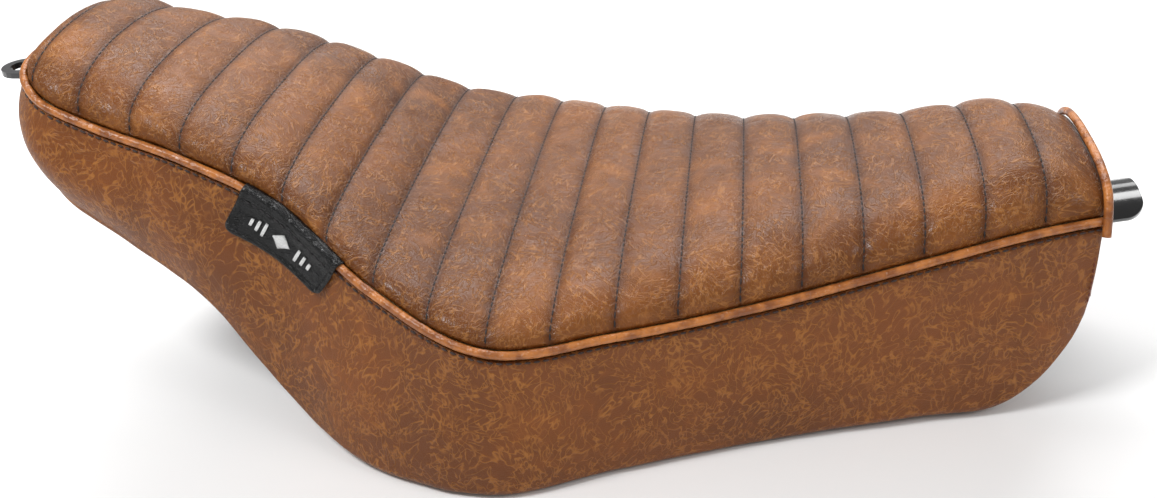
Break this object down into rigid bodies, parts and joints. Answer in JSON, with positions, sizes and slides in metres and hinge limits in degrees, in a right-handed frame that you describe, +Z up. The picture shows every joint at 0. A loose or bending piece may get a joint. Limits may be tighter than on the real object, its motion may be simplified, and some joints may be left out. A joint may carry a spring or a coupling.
{
  "type": "motorcycle seat",
  "caption": "Solo motorcycle saddle with a kicked-up tail, pleated leather top with piping, steel pan, front tongue and rear mounting tab.",
  "frame": {"origin": "centre of the bounding box in plan, at the level of the lowest hem", "axes": "+X to the nose (front of the motorcycle), +Y to the rider's left, +Z up"},
  "size_m": [0.585, 0.279, 0.1898],
  "materials": {
    "brown_leather": "semi-gloss distressed brown leather",
    "welt_leather": "semi-gloss tan leather piping",
    "black_leather": "satin black leather",
    "foam": "open-cell foam",
    "felt": "black carpet",
    "pan_steel": "satin black paint",
    "black_steel": "gloss black paint",
    "rubber": "matte black rubber",
    "zinc_steel": "zinc-plated"
  },
  "bodies": {
    "root": {"top_cover": "brown_leather", "pleat_padding": "foam", "side_cover_right": "brown_leather", "side_cover_left": "brown_leather", "nose_cover": "brown_leather", "side_welt": "welt_leather", "nose_welt": "welt_leather", "side_tag": "black_leather", "foam_cushion": "foam", "base_pan": "pan_steel", "fender_carpet": "felt", "frame_carpet": "felt", "front_tongue": "black_steel", "rear_tab": "black_steel", "cover_rivet_left_1": "zinc_steel", "cover_rivet_right_1": "zinc_steel", "cover_rivet_left_2": "zinc_steel", "cover_rivet_right_2": "zinc_steel", "cover_rivet_left_3": "zinc_steel", "cover_rivet_right_3": "zinc_steel", "cover_rivet_left_4": "zinc_steel", "cover_rivet_right_4": "zinc_steel", "cover_rivet_left_5": "zinc_steel", "cover_rivet_right_5": "zinc_steel", "cover_rivet_left_6": "zinc_steel", "cover_rivet_right_6": "zinc_steel", "cover_rivet_left_7": "zinc_steel", "cover_rivet_right_7": "zinc_steel", "tongue_rivet_right_1": "zinc_steel", "tongue_rivet_left_1": "zinc_steel", "tongue_rivet_right_2": "zinc_steel", "tongue_rivet_left_2": "zinc_steel", "tab_bolt_1": "zinc_steel", "tab_nut_1": "zinc_steel", "tab_bolt_2": "zinc_steel", "tab_nut_2": "zinc_steel", "bumper_right_1": "rubber", "bumper_screw_right_1": "zinc_steel", "bumper_nut_right_1": "zinc_steel", "bumper_left_1": "rubber", "bumper_screw_left_1": "zinc_steel", "bumper_nut_left_1": "zinc_steel", "bumper_right_2": "rubber", "bumper_screw_right_2": "zinc_steel", "bumper_nut_right_2": "zinc_steel", "bumper_left_2": "rubber", "bumper_screw_left_2": "zinc_steel", "bumper_nut_left_2": "zinc_steel"}
  },
  "joints": []
}
